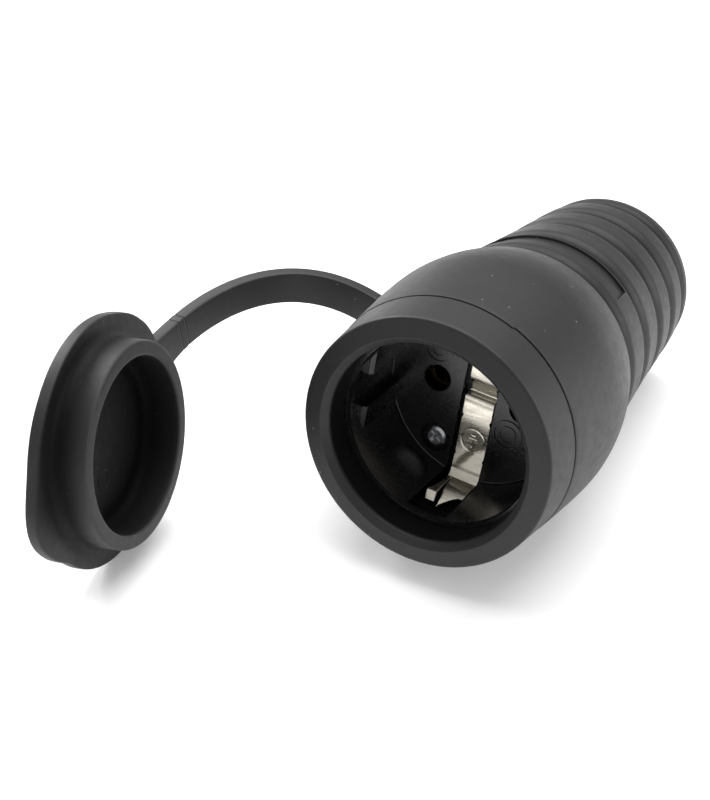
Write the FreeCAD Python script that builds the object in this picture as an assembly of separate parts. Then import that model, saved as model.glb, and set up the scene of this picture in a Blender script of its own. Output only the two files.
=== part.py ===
import FreeCAD, Part
import math
import os

# Inline socket connector in rubber with a plug-in cap on a moulded strap.
# Millimetres.  Working frame: +Y runs from the socket's face to its cord end,
# y = 0 is the outer edge of the face, +Z up, +X right.  At the end everything
# is turned and lifted as the part lies on a level surface.

V = FreeCAD.Vector
Y = V(0, 1, 0)
Z = V(0, 0, 1)
X = V(1, 0, 0)

# ---------------------------------------------------------------- dimensions
face_y, face_r = -0.9, 22.15          # foremost ring of the face
edge_r = 26.04                        # outer edge of the face
mouth_r = 20.60                       # rubber mouth
seam_y = 9.5                          # parting seam behind the collar
skin = [(9.75, 26.80), (13.8, 27.12), (18.0, 27.40), (21.0, 27.62), (24.0, 27.75), (26.6, 27.83),
        (29.0, 27.80), (31.0, 27.65), (33.0, 27.40), (35.0, 27.08), (37.0, 26.70), (38.6, 26.31),
        (40.0, 25.90), (41.6, 25.40), (43.0, 24.95), (45.0, 24.36), (48.0, 23.88), (51.0, 23.60),
        (58.0, 22.82), (65.0, 22.02), (71.0, 21.48), (77.5, 20.96), (82.0, 20.60), (86.5, 20.15),
        (90.0, 19.70), (93.0, 19.20)]
valleys = [(46.4, 2.9, 0.90), (58.7, 3.1, 0.90), (69.8, 3.1, 0.90), (79.8, 3.0, 0.85), (89.3, 2.9, 0.85)]
tail = [(94.3, 18.75), (95.3, 18.15), (96.1, 17.35), (96.7, 16.30)]
tail_y, tail_r = 97.0, 15.0
cable_r = 5.0                         # cable entry
panel = (50.6, 56.1, 42.0, 23.25, 22.47)   # blank panel: front, rear, half angle, floor radii

insert_front, insert_r, cup_r = 6.4, 22.0, 19.6
plate_y, plate_back = 25.1, 28.8
insert_turn = 12.86                   # the insert's turn in the housing, degrees
pole_x, pole_hole_r = 9.5, 2.95       # pin spacing 19 mm
strip_half, channel_half, slot_half, strip_t = 3.25, 3.8, 4.25, 0.5
arm_in, bend_r, root_y = 20.7, 1.3, 24.8    # earth arms: inner face, bend, start of the arm
neck_half = 2.8                       # narrowed dip in the middle of the strip
# front surface of the earth strip between its two end bends (z, y)
strip_low = [(-18.0, 26.24), (-16.0, 26.38), (-13.0, 26.44), (-10.0, 26.36), (-7.5, 26.16), (-5.0, 26.00), (-3.6, 25.94)]
strip_top = [(-0.4, 27.52), (0.1, 27.40), (0.6, 27.26), (1.0, 27.12), (1.35, 26.90), (1.7, 26.62), (2.05, 26.45),
             (2.6, 26.37), (3.6, 26.35), (5.0, 26.35), (6.0, 26.35), (7.0, 26.35), (8.0, 26.35), (9.0, 26.35),
             (10.5, 26.36), (12.5, 26.40), (15.0, 26.40), (18.0, 26.24)]
crest_c, crest_r = (-2.2, 26.83), 0.9
dip_c, dip_r = (-0.85, 27.15), 0.45
# outline of the lower arm's fixed blade (x, y) and section of its sprung tongue (z, y)
blade = [(3.25, 24.0), (3.25, 18.75), (2.3, 18.85), (1.39, 16.95), (-0.06, 13.45), (-1.05, 17.85), (-1.8, 20.45),
         (-2.05, 22.5), (-2.1, 24.0)]
tongue_edge = [(-2.3, 24.0), (-2.25, 22.4), (-2.05, 20.0), (-1.75, 18.2), (-1.4, 16.6), (-1.15, 15.4), (-1.1, 13.0)]
tongue_run = [(-20.7, 24.0), (-20.67, 23.2), (-20.52, 22.0), (-20.2, 20.2), (-19.75, 18.4), (-19.25, 16.9),
              (-18.9, 16.05), (-18.68, 15.5), (-18.72, 15.05), (-19.0, 14.78), (-19.5, 14.62), (-20.2, 14.48),
              (-20.9, 14.38)]
flat_x, flat_front, flat_gap = 17.5, 10.3, 3.75
flat_chamfer, foot_r, lip = 0.7, 0.3, 0.15    # lead-in of the guide flats, fillet at the plate, edge of the rim
fix_x, fix_z = 7.5, 13.1              # insert screws
carrier_r, carrier_in, carrier_end = 20.3, 18.6, 44.0

cap_c = V(-57.9, -21.8, 0)            # centre of the cap flange's front face
cap_turn = 6.2                        # direction of the cap's axis, degrees
flange_r, flange_t = 25.07, 2.58
cup_out, cup_in, cup_h = 20.45, 17.43, 7.0
# outline of the pull tab (x, z)
tab_line = [(24.28, 6.05), (25.55, 3.30), (26.52, 0.93), (27.10, -0.95), (27.60, -2.90), (27.88, -4.91), (27.72, -6.91),
            (27.11, -8.81), (26.15, -10.56), (24.90, -12.14), (23.51, -13.58), (22.09, -14.90), (20.49, -16.01),
            (18.90, -17.00), (17.20, -17.90)]

strap_w, strap_t = 7.11, 2.80
strap_psi, strap_y0, strap_psi2 = 16.8, 34.9, 15.4
strap_a, strap_b, strap_eta, strap_lean = 31.2, 17.9, 20.8, 1.7


# ------------------------------------------------------------------- helpers
def cyl(r, y0, y1, x=0.0, z=0.0):
    return Part.makeCylinder(r, y1 - y0, V(x, y0, z), Y)


def box(x0, x1, y0, y1, z0, z1):
    return Part.makeBox(x1 - x0, y1 - y0, z1 - z0, V(x0, y0, z0))


def tube(r1, r0, y0, y1, x=0.0, z=0.0):
    return cyl(r1, y0, y1, x, z).cut(cyl(r0, y0 - 1, y1 + 1, x, z))


def line(a, b):
    return Part.makeLine(V(a[0], a[1], 0), V(b[0], b[1], 0))


def lines(pts):
    return [line(a, b) for a, b in zip(pts, pts[1:])]


def spline(pts):
    c = Part.BSplineCurve()
    c.interpolate([V(r, y, 0) for r, y in pts])
    return c.toShape()


def turned(edges, angle=360.0):
    face = Part.Face(Part.Wire(Part.__sortEdges__(edges)))
    return face.revolve(V(0, 0, 0), Y, angle)


def env(y):
    """Radius of the housing without its valleys."""
    for (y0, r0), (y1, r1) in zip(skin, skin[1:]):
        if y <= y1:
            return r0 + (r1 - r0) * (y - y0) / (y1 - y0)
    return skin[-1][1]


def ribbed(y):
    r = env(y)
    for c, h, d in valleys:
        if abs(y - c) < h:
            r -= 0.5 * d * (1 + math.cos(math.pi * (y - c) / h))
    return r


def one(shape):
    s = shape.removeSplitter()
    return s.Solids[0] if len(s.Solids) == 1 else s


# ------------------------------------------------------------- rubber housing
def outer_edges():
    ed = []
    ed.append(Part.Arc(V(25.45, -0.132, 0), V(25.88, 0.10, 0), V(edge_r, 0.55, 0)).toShape())
    ed += lines([(face_r, face_y), (25.45, -0.132)])
    ed += lines([(edge_r, 0.55), (26.68, seam_y - 0.18), (26.25, seam_y - 0.08),
                 (26.25, seam_y + 0.08), (skin[0][1], skin[0][0])])
    pts = [(r, y) for y, r in skin if y < 43.2]
    y = 44.0
    while y < 93.1:
        pts.append((ribbed(y), y))
        y += 0.8
    pts += [(r, y) for y, r in tail] + [(tail_r, tail_y)]
    ed.append(spline(pts))
    return ed


def profile_points():
    pts = [(face_r, face_y), (edge_r, 0.5), (26.68, seam_y)]
    for e in outer_edges():
        if e.Length > 4:
            pts += [(p.x, p.y) for p in e.discretize(600)]
    return pts


def make_outer():
    ed = outer_edges()
    ed = [e for e in ed if e.Length > 1e-6]
    ed += lines([(tail_r, tail_y), (0, tail_y)])
    ed += [line((0, tail_y), (0, face_y)), line((0, face_y), (face_r, face_y))]
    return turned(ed)


def make_cavity():
    pts = [(0, face_y - 1), (face_r + 1.25, face_y - 1), (mouth_r, 0.45), (mouth_r, insert_front),
           (insert_r, insert_front), (insert_r, plate_back + 0.2), (carrier_r + 0.1, plate_back + 0.2),
           (carrier_r + 0.1, carrier_end + 0.3), (17.2, 47.2), (15.9, 70.0), (8.0, 77.0),
           (cable_r, 80.0), (cable_r, tail_y - 0.8), (cable_r + 1.0, tail_y + 0.2), (0, tail_y + 0.2)]
    ed = lines(pts) + [line(pts[-1], pts[0])]
    return turned(ed)


outer_solid = make_outer()
housing = outer_solid.cut(make_cavity())
p0, p1, ph, pr0, pr1 = panel
ed = lines([(pr0, p0), (30, p0), (30, p1), (pr1, p1), (pr0, p0)])
pan = turned(ed, 2 * ph)
pan.rotate(V(0, 0, 0), Y, -90 - ph + insert_turn)
housing = one(housing.cut(pan))


# ------------------------------------------------------------- recess insert
def make_insert():
    hollow = cyl(cup_r, insert_front - 1, plate_y)
    foot = [e for e in hollow.Edges if abs(e.CenterOfMass.y - plate_y) < 1e-3 and e.Length > 50]
    hollow = hollow.makeFillet(foot_r, foot)
    s = cyl(insert_r, insert_front, plate_back).cut(hollow)
    s = s.cut(Part.makeCone(cup_r + lip + 0.5, cup_r, lip + 0.5, V(0, insert_front - 0.5, 0), Y))
    # rounded front edge of the cup
    rim = turned(lines([(cup_r - 1, insert_front - 0.5), (cup_r + 0.5, insert_front - 0.5),
                        (cup_r - 0.0001, insert_front + 0.6), (cup_r - 1, insert_front + 0.6),
                        (cup_r - 1, insert_front - 0.5)]))
    s = s.cut(rim)
    # guide flats on the two sides, each with a groove down its middle
    disc = cyl(cup_r + 0.2, flat_front, plate_y + 0.2)
    for sx in (1, -1):
        x0, x1 = (flat_x, 21) if sx > 0 else (-21, -flat_x)
        for z0, z1 in ((flat_gap, 12), (-12, -flat_gap)):
            pad = disc.common(box(x0, x1, flat_front, plate_y + 0.2, z0, z1))
            c = [V(sx * (flat_x - 1), flat_front - 1, z0 - 1), V(sx * (flat_x - 1), flat_front + flat_chamfer + 1, z0 - 1),
                 V(sx * (flat_x + flat_chamfer + 1), flat_front - 1, z0 - 1), V(sx * (flat_x - 1), flat_front - 1, z0 - 1)]
            s = s.fuse(pad.cut(Part.Face(Part.makePolygon(c)).extrude(V(0, 0, z1 - z0 + 2))))
    # generic moulded ring marks
    for mx, mz in ((-10.3, 6.6), (7.45, -6.4)):
        s = s.fuse(tube(3.15, 2.8, plate_y - 0.25, plate_y + 0.3, mx, mz))
        s = s.fuse(tube(1.85, 1.55, plate_y - 0.2, plate_y + 0.3, mx, mz))
    # openings for the two pins
    for sx in (1, -1):
        s = s.cut(cyl(pole_hole_r, plate_y - 1, plate_back + 1, sx * pole_x, 0))
    # channel for the earth strip, deeper under its dip, and slots for its arms
    s = s.cut(box(-channel_half, channel_half, plate_y - 1, 27.2, -insert_r - 1, insert_r + 1))
    s = s.cut(box(-channel_half, channel_half, 27.0, 28.2, -2.3, 2.3))
    for sz in (1, -1):
        z0, z1 = (18.2, insert_r + 0.3) if sz > 0 else (-insert_r - 0.3, -18.2)
        s = s.cut(box(-slot_half, slot_half, 8.2, plate_y, z0, z1))
    # outside is closed by the housing; slot for the earth terminal's stem
    s = s.cut(box(-2.1, 2.1, plate_y, plate_back + 1, 6.9, 9.1))
    # screw seats
    for sx in (1, -1):
        s = s.cut(cyl(3.25, plate_y - 1, 26.6, sx * fix_x, sx * fix_z))
        s = s.cut(cyl(1.6, plate_y - 1, plate_back + 1, sx * fix_x, sx * fix_z))
    return one(s)


def arc(c, r, a0, a1, n=9):
    # points (z, y) on an arc, angles in degrees from +z towards +y
    return [(c[0] + r * math.cos(math.radians(a0 + (a1 - a0) * k / (n - 1))),
             c[1] + r * math.sin(math.radians(a0 + (a1 - a0) * k / (n - 1)))) for k in range(n)]


def strip_points():
    # front surface from the lower arm's root to the upper arm's root
    k = arm_in - bend_r
    p = arc((-k, root_y), bend_r, 180, 90) + strip_low
    p += arc(crest_c, crest_r, -90, 0) + arc(dip_c, dip_r, 180, 90)
    return p + strip_top + arc((k, root_y), bend_r, 90, 0)


def sheet(pts, x0, x1, t, first=None, last=None):
    # sheet of thickness t behind a front surface given as (z, y), extruded along X
    back = []
    for i, (zz, yy) in enumerate(pts):
        j0, j1 = max(0, i - 1), min(len(pts) - 1, i + 1)
        dz, dy = pts[j1][0] - pts[j0][0], pts[j1][1] - pts[j0][1]
        ln = math.hypot(dz, dy)
        nz, ny = -dy / ln, dz / ln
        if i == 0 and first:
            nz, ny = first
        if i == len(pts) - 1 and last:
            nz, ny = last
        back.append(V(x0, yy + ny * t, zz + nz * t))
    front = [V(x0, yy, zz) for zz, yy in pts]
    cf, cb = Part.BSplineCurve(), Part.BSplineCurve()
    cf.interpolate(front)
    cb.interpolate(back)
    w = Part.Wire([cf.toShape(), Part.makeLine(front[-1], back[-1]), cb.toShape().reversed(),
                   Part.makeLine(back[0], front[0])])
    return Part.Face(w).extrude(V(x1 - x0, 0, 0))


def prism(pts, z0, z1):
    q = [V(x, y, z0) for x, y in pts]
    return Part.Face(Part.makePolygon(q + [q[0]])).extrude(V(0, 0, z1 - z0))


def make_bracket():
    h, t = strip_half, strip_t
    pts = strip_points()
    s = sheet(pts, -h, h, t, (-1, 0), (1, 0))
    # lower arm: a fixed blade with a pointed end and a sprung tongue beside it
    root = box(-h, h, 24.0, root_y, -arm_in - t, -arm_in)
    plate = prism(blade, -arm_in - t, -arm_in)
    tongue = sheet(tongue_run[::-1], -h, -1.0, t, None, (-1, 0))
    tongue = tongue.common(prism([(-h - 1, 24.0)] + tongue_edge + [(-h - 1, 13.0)], -23, -17))
    arm = root.fuse([plate, tongue])
    other = arm.copy()
    other.rotate(V(0, 0, 0), Y, 180)
    s = s.fuse([arm, other])
    # narrowed dip
    for sx in (1, -1):
        x0, x1 = (neck_half, h + 1) if sx > 0 else (-h - 1, -neck_half)
        s = s.cut(box(x0, x1, 26.5, 29.0, -0.9, 1.3))
    # small notches beside the symbol
    for sx in (1, -1):
        for zn in (-6.4, -15.6):
            s = s.cut(box(sx * h - 0.25, sx * h + 0.25, 25.0, 27.5, zn - 0.25, zn + 0.25))
    # stamped ring for the earth symbol
    skin_sheet = sheet(pts, -h, h, 0.12, (-1, 0), (1, 0))
    s = s.cut(skin_sheet.common(tube(2.7, 2.45, 25.0, 28.0, -0.2, -10.5)))
    return one(s)


# ------------------------------------------------------------ inner parts
def hexagon(af, y0, y1, x, z):
    r = af / math.sqrt(3)
    pts = [V(x + r * math.cos(math.radians(60 * k)), y0, z + r * math.sin(math.radians(60 * k))) for k in range(7)]
    return Part.Face(Part.makePolygon(pts)).extrude(V(0, y1 - y0, 0))


clamp_y0, clamp_y1, clamp_x = 58.0, 66.0, 8.0


def make_carrier():
    s = cyl(carrier_r, plate_back, 31.0)
    s = s.fuse(tube(carrier_r, carrier_in, 30.5, carrier_end))
    for sx in (1, -1):
        s = s.fuse(cyl(4.9, 30.5, 36.5, sx * pole_x, 0))
        s = s.fuse(cyl(3.7, 30.5, 41.0, sx * fix_x, sx * fix_z))
    s = s.fuse(box(-11, 11, 30.5, 68.0, -9.0, -6.0))
    s = s.fuse(box(-11, 11, clamp_y0, clamp_y1, -9.0, -0.8))
    s = s.cut(cyl(4.7, clamp_y0 - 1, clamp_y1 + 1))
    for sx in (1, -1):
        s = s.cut(cyl(3.1, plate_back - 1, 32.5, sx * pole_x, 0))
        s = s.cut(cyl(3.75, 32.0, 37.0, sx * pole_x, 0))
        s = s.cut(cyl(1.6, plate_back - 1, 42, sx * fix_x, sx * fix_z))
        s = s.cut(hexagon(5.5, 38.6, 42, sx * fix_x, sx * fix_z))
        s = s.cut(Part.makeCylinder(1.45, 8, V(sx * clamp_x, 62, -8.0), Z))
    s = s.cut(box(-2.0, 2.0, plate_back - 1, 32, 7.0, 9.0))
    return one(s)


def make_sleeve(sx):
    x = sx * pole_x
    s = cyl(3.1, plate_back, 41.0, x, 0)
    s = s.fuse(box(x - 3.4, x + 3.4, 40.0, 46.0, -3.5, 3.5))
    s = s.cut(cyl(2.45, plate_back - 1, 39.2, x, 0))
    s = s.cut(box(x - 0.3, x + 0.3, plate_back - 1, 37.5, -4, 4))
    s = s.cut(box(x - 4, x + 4, plate_back - 1, 37.5, -0.3, 0.3))
    s = s.cut(cyl(1.7, 40.4, 47, x, 0))
    s = s.cut(Part.makeCylinder(1.5, 4.5, V(x, 43.2, 0), Z))
    return one(s)


def make_spring(sx):
    x = sx * pole_x
    s = tube(3.6, 3.1, 33.4, 35.6, x, 0)
    return one(s.cut(box(x - 0.5, x + 0.5, 33, 36, 0, 4)))


def slotted_screw(x, y, z_seat, z_tip, r, rh, hh):
    s = Part.makeCylinder(rh, hh, V(x, y, z_seat), Z)
    s = s.fuse(Part.makeCylinder(r, z_seat - z_tip + 0.2, V(x, y, z_tip), Z))
    return one(s.cut(box(x - 0.4, x + 0.4, y - rh - 1, y + rh + 1, z_seat + hh - 0.8, z_seat + hh + 1)))


def make_earth_terminal():
    s = box(-2.0, 2.0, 26.35 + strip_t + 0.01, 39.0, 7.0, 9.0)
    s = s.fuse(box(-3.2, 3.2, 38.0, 46.0, 4.5, 11.5))
    s = s.cut(cyl(1.7, 40.0, 47.0, 0, 8.0))
    s = s.cut(Part.makeCylinder(1.5, 5, V(0, 42.6, 8.0), Z))
    return one(s)


def insert_screw(sx):
    x, z = sx * fix_x, sx * fix_z
    head = cyl(2.2, 25.0, 26.6, x, z)
    dome = Part.makeSphere(3.6, V(x, 25.0 + 3.2, z))
    head = head.common(dome.fuse(cyl(5, 25.6, 27, x, z)))
    s = head.fuse(cyl(1.5, 26.4, 42.5, x, z))
    slot = box(x - 3, x + 3, 24.0, 25.7, z - 0.35, z + 0.35)
    slot.rotate(V(x, 0, z), Y, 38)
    cross = box(x - 0.35, x + 0.35, 24.0, 25.7, z - 3, z + 3)
    cross.rotate(V(x, 0, z), Y, 38)
    return one(s.cut(slot.common(cyl(1.5, 24, 26, x, z))).cut(cross.common(cyl(1.5, 24, 26, x, z))))


def insert_nut(sx):
    x, z = sx * fix_x, sx * fix_z
    return one(hexagon(5.5, 38.6, 41.0, x, z).cut(cyl(1.5, 38, 42, x, z)))


def make_bridge():
    s = box(-11, 11, clamp_y0, clamp_y1, 0.8, 6.2)
    hump = cyl(8.2, clamp_y0, clamp_y1).common(box(-12, 12, clamp_y0, clamp_y1, 0.8, 12))
    s = s.fuse(hump.common(box(-4.9, 4.9, clamp_y0, clamp_y1, 0.8, 12)))
    s = s.cut(cyl(4.5, clamp_y0 - 1, clamp_y1 + 1))
    for sx in (1, -1):
        s = s.cut(Part.makeCylinder(1.65, 12, V(sx * clamp_x, 62, -1), Z))
    return one(s)


# ---------------------------------------------------------------- cap
def make_cap():
    # built as closed: axis +Y, strap side at -X, front face of the flange y = 0
    f, t = flange_r, flange_t
    ed = lines([(0, -t), (f - 0.5, -t)])
    ed.append(Part.Arc(V(f - 0.5, -t, 0), V(f - 0.146, -t + 0.146, 0), V(f, -t + 0.5, 0)).toShape())
    ed += lines([(f, -t + 0.5), (f, -0.35), (f - 0.35, 0), (22.0, 0)])
    ed.append(spline([(22.0, 0), (21.25, 0.28), (20.75, 0.9), (cup_out, 1.9)]))
    ed += lines([(cup_out, 1.9), (cup_out, cup_h - 0.5)])
    ed.append(Part.Arc(V(cup_out, cup_h - 0.5, 0), V(cup_out - 0.146, cup_h - 0.146, 0), V(cup_out - 0.5, cup_h, 0)).toShape())
    ed += lines([(cup_out - 0.5, cup_h), (cup_in + 0.3, cup_h), (cup_in, cup_h - 0.3), (cup_in - 0.25, 0.6)])
    ed.append(Part.Arc(V(cup_in - 0.25, 0.6, 0), V(cup_in - 0.60, -0.25, 0), V(cup_in - 1.45, -0.6, 0)).toShape())
    ed += lines([(cup_in - 1.45, -0.6), (0, -0.6)]) + [line((0, -0.6), (0, -t))]
    s = turned(ed)
    # pull tab
    c = Part.BSplineCurve()
    c.interpolate([V(x, -t, z) for x, z in tab_line])
    e = c.toShape()
    a0, a1 = V(tab_line[0][0], -t, tab_line[0][1]), V(tab_line[-1][0], -t, tab_line[-1][1])
    w = Part.Wire([e, Part.makeLine(a1, V(15.5, -t, -14.0)), Part.makeLine(V(15.5, -t, -14.0), V(21.0, -t, 4.0)),
                   Part.makeLine(V(21.0, -t, 4.0), a0)])
    s = s.fuse(Part.Face(w).extrude(V(0, t, 0)).cut(cyl(cup_out - 1, -t - 1, 1)))
    # faint moulded ring on the cup's floor
    s = s.fuse(tube(3.3, 3.0, -0.7, -0.48, 1.6, -7.6))
    return one(s)


def strap_frames(n, s0=0.0, s1=1.0):
    a = math.radians(cap_turn)
    nn = V(math.cos(a), math.sin(a), 0)
    al = V(-math.sin(a), math.cos(a), 0)
    ps, p2, et = (math.radians(v) for v in (strap_psi, strap_psi2, strap_eta))
    rad = V(-math.cos(ps), 0, math.sin(ps))
    q0 = rad * 27.3 + V(0, strap_y0, 0)
    t0 = rad * math.cos(et) + Y * math.sin(et)
    rs = al * math.cos(p2) + Z * math.sin(p2)
    q3 = cap_c + rs * (flange_r - 0.5)
    q1 = q0 + t0 * strap_a
    q2 = q3 + rs * strap_b
    w0 = V(math.sin(ps), 0, math.cos(ps))
    w1 = nn.cross(rs)
    if w1.z < 0:
        w1 = w1 * -1
    out = []
    for i in range(n):
        s = s0 + (s1 - s0) * i / (n - 1)
        k = min(1.0, max(0.0, s))
        if s < 0:
            p = q0 + t0 * (s * 61.0)
            d = V(t0)
        elif s > 1:
            p = q3 - rs * ((s - 1) * 61.0)
            d = rs * -1
        else:
            m = 1 - k
            p = q0 * m ** 3 + q1 * (3 * m * m * k) + q2 * (3 * m * k * k) + q3 * k ** 3
            d = (q1 - q0) * (3 * m * m) + (q2 - q1) * (6 * m * k) + (q3 - q2) * (3 * k * k)
        d.normalize()
        w = w0 * (1 - k) + w1 * k
        w = w - d * w.dot(d)
        w.normalize()
        lean = math.radians(strap_lean) * 4 * k * (1 - k)
        w = w * math.cos(lean) + d.cross(w) * math.sin(lean)
        nrm = d.cross(w)
        if i == 0:
            sign = 1 if nrm.y > 0 else -1
        out.append((p, d, w, nrm * sign))
    return out


def strap_section(p, w, n, half, t, r):
    c = []
    for a, b in ((-half, 0), (half, 0), (half, t), (-half, t)):
        c.append(p + w * a + n * b)
    pts = []
    for i in range(4):
        q, a, b = c[i], c[i - 1], c[(i + 1) % 4]
        ua, ub = (a - q), (b - q)
        ua.normalize()
        ub.normalize()
        pts.append((q + ua * r, q + (ua + ub) * (r * (1 - math.sqrt(0.5))), q + ub * r))
    ed = []
    for i in range(4):
        ed.append(Part.Arc(*pts[i]).toShape())
        ed.append(Part.makeLine(pts[i][2], pts[(i + 1) % 4][0]))
    return Part.Wire(ed)


def make_strap(cutters):
    secs = []
    for p, d, w, n in strap_frames(15, -0.075, 1.03):
        secs.append(strap_section(p, w, n, strap_w / 2, strap_t, 0.55))
    s = Part.makeLoft(secs, True, False)
    for c in cutters:
        s = s.cut(c)
    sol = sorted(s.Solids, key=lambda q: q.Volume)
    return sol[-1]


# ---------------------------------------------------------------- assembly
a = math.radians(cap_turn)
cap = make_cap()
cap.rotate(V(0, 0, 0), Z, -(90 - cap_turn))
cap.translate(cap_c)

local = {
    "contact_insert": make_insert(),
    "terminal_carrier": make_carrier(),
    "contact_sleeve_left": make_sleeve(-1),
    "contact_sleeve_right": make_sleeve(1),
    "sleeve_spring_left": make_spring(-1),
    "sleeve_spring_right": make_spring(1),
    "terminal_screw_left": slotted_screw(-pole_x, 43.2, 3.5, 1.2, 1.5, 2.4, 1.8),
    "terminal_screw_right": slotted_screw(pole_x, 43.2, 3.5, 1.2, 1.5, 2.4, 1.8),
    "earth_bracket": make_bracket(),
    "earth_terminal": make_earth_terminal(),
    "earth_terminal_screw": slotted_screw(0, 42.6, 11.5, 9.2, 1.5, 2.4, 1.8),
    "insert_screw_lower": insert_screw(-1),
    "insert_screw_upper": insert_screw(1),
    "insert_nut_lower": insert_nut(-1),
    "insert_nut_upper": insert_nut(1),
    "cord_clamp_bridge": make_bridge(),
    "clamp_screw_left": slotted_screw(-clamp_x, 62, 6.2, -8.0, 1.45, 2.6, 1.9),
    "clamp_screw_right": slotted_screw(clamp_x, 62, 6.2, -8.0, 1.45, 2.6, 1.9),
}
for s in local.values():
    s.rotate(V(0, 0, 0), Y, insert_turn)

parts = {"rubber_housing": housing, "sealing_cap": cap, "cap_strap": make_strap([outer_solid, cap])}
parts.update(local)

# ---------------------------------------------------------------- resting pose
prof = profile_points()


def low(tau, near):
    return max(r * math.cos(tau) - y * math.sin(tau) for r, y in prof if (y < 44) == near)


lo, hi = math.radians(-15), 0.0
for _ in range(60):
    mid = 0.5 * (lo + hi)
    if low(mid, True) > low(mid, False):
        hi = mid
    else:
        lo = mid
tilt = 0.5 * (lo + hi)
floor = -low(tilt, True)


def turn_of(theta):
    return FreeCAD.Rotation(X, math.degrees(tilt)) * FreeCAD.Rotation(Y, theta)


def cap_low(theta):
    r = turn_of(theta)
    nn = r.multVec(V(math.cos(a), math.sin(a), 0))
    z1 = r.multVec(cap_c).z
    z0 = r.multVec(cap_c - V(math.cos(a), math.sin(a), 0) * flange_t).z
    q = math.sqrt(1 - nn.z ** 2)
    return min(z1 - (flange_r - 0.35) * q, z0 - (flange_r - 0.5) * q,
               z1 - nn.z * 0.35 - flange_r * q, z0 + nn.z * 0.5 - flange_r * q)


lo, hi = -20.0, 0.0
for _ in range(60):
    mid = 0.5 * (lo + hi)
    if cap_low(mid) < floor:
        lo = mid
    else:
        hi = mid
theta = 0.5 * (lo + hi)
rest = turn_of(theta)

for s in parts.values():
    s.Placement = FreeCAD.Placement(V(0, 0, 0), rest).multiply(s.Placement)

# tight box from the tessellated shapes
lo3, hi3 = [1e9] * 3, [-1e9] * 3
for s in parts.values():
    pts, _ = s.tessellate(0.01)
    for p in pts:
        for i, v in enumerate((p.x, p.y, p.z)):
            lo3[i], hi3[i] = min(lo3[i], v), max(hi3[i], v)
shift = V(-(lo3[0] + hi3[0]) / 2, -(lo3[1] + hi3[1]) / 2, -lo3[2])

os.makedirs("parts", exist_ok=True)
for name, s in parts.items():
    s.translate(shift)
    print(name, "solids", len(s.Solids), "valid", s.isValid(), "volume %.1f" % s.Volume)
    s.exportStep("parts/" + name + ".step")

print("tilt %.5f turn %.5f" % (math.degrees(tilt), theta))
print("shift %.6f %.6f %.6f" % (shift.x, shift.y, shift.z))
print("size %.3f %.3f %.3f" % tuple(hi3[i] - lo3[i] for i in range(3)))
print("lowest housing %.4f cap %.4f" % (parts["rubber_housing"].BoundBox.ZMin, parts["sealing_cap"].BoundBox.ZMin))
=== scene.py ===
import math
import bmesh
import bpy
import numpy as np
from mathutils import Matrix, Vector


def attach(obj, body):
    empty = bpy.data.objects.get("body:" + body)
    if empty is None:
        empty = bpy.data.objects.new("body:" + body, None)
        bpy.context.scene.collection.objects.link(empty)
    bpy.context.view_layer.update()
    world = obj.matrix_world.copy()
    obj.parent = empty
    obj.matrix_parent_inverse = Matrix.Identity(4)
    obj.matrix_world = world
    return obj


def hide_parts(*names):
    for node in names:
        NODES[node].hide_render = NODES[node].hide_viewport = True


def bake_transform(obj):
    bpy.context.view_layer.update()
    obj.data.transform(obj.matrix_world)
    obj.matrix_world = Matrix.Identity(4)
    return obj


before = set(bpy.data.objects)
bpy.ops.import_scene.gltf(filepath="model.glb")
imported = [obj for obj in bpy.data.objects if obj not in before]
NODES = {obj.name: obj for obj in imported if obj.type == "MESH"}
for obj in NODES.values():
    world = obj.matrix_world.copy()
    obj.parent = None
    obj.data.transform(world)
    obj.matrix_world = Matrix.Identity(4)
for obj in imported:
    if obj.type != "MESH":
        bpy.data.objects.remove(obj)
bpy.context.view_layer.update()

# ------------------------------------------------------------------ frames
# Working frame: millimetres, +Y from the socket's face to its cord end.
TILT, TURN = math.radians(-7.72107), math.radians(-9.44290)
SHIFT = np.array([18.314300, -23.378108, 31.591811])
INSERT_TURN = math.radians(12.86)


def rot_x(a):
    c, s = math.cos(a), math.sin(a)
    return np.array([[1, 0, 0], [0, c, -s], [0, s, c]])


def rot_y(a):
    c, s = math.cos(a), math.sin(a)
    return np.array([[c, 0, s], [0, 1, 0], [-s, 0, c]])


def rot_z(a):
    c, s = math.cos(a), math.sin(a)
    return np.array([[c, -s, 0], [s, c, 0], [0, 0, 1]])


REST = rot_x(TILT) @ rot_y(TURN)
INS = rot_y(INSERT_TURN)


def to_row(p):
    """Working-frame millimetres to the row frame in metres."""
    return (np.asarray(p, float) @ REST.T + SHIFT) / 1000.0


def ins(p):
    """Insert's own frame to the working frame."""
    return np.asarray(p, float) @ INS.T


CAP_C = np.array([-57.9, -21.8, 0.0])
CAP_TURN = math.radians(6.2)
CAP_R = rot_z(-(math.pi / 2 - CAP_TURN))


def cap(p):
    """Cap's own frame (axis +Y, strap at -X) to the working frame."""
    return np.asarray(p, float) @ CAP_R.T + CAP_C


# --------------------------------------------------------------- materials
def nodes_of(name):
    m = bpy.data.materials.new(name)
    m.use_nodes = True
    nt = m.node_tree
    nt.nodes.clear()
    out = nt.nodes.new("ShaderNodeOutputMaterial")
    bs = nt.nodes.new("ShaderNodeBsdfPrincipled")
    nt.links.new(bs.outputs["BSDF"], out.inputs["Surface"])
    return m, nt, bs


def add(nt, kind, **kw):
    n = nt.nodes.new(kind)
    for k, v in kw.items():
        if k in n.inputs:
            n.inputs[k].default_value = v
        else:
            setattr(n, k, v)
    return n


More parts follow.
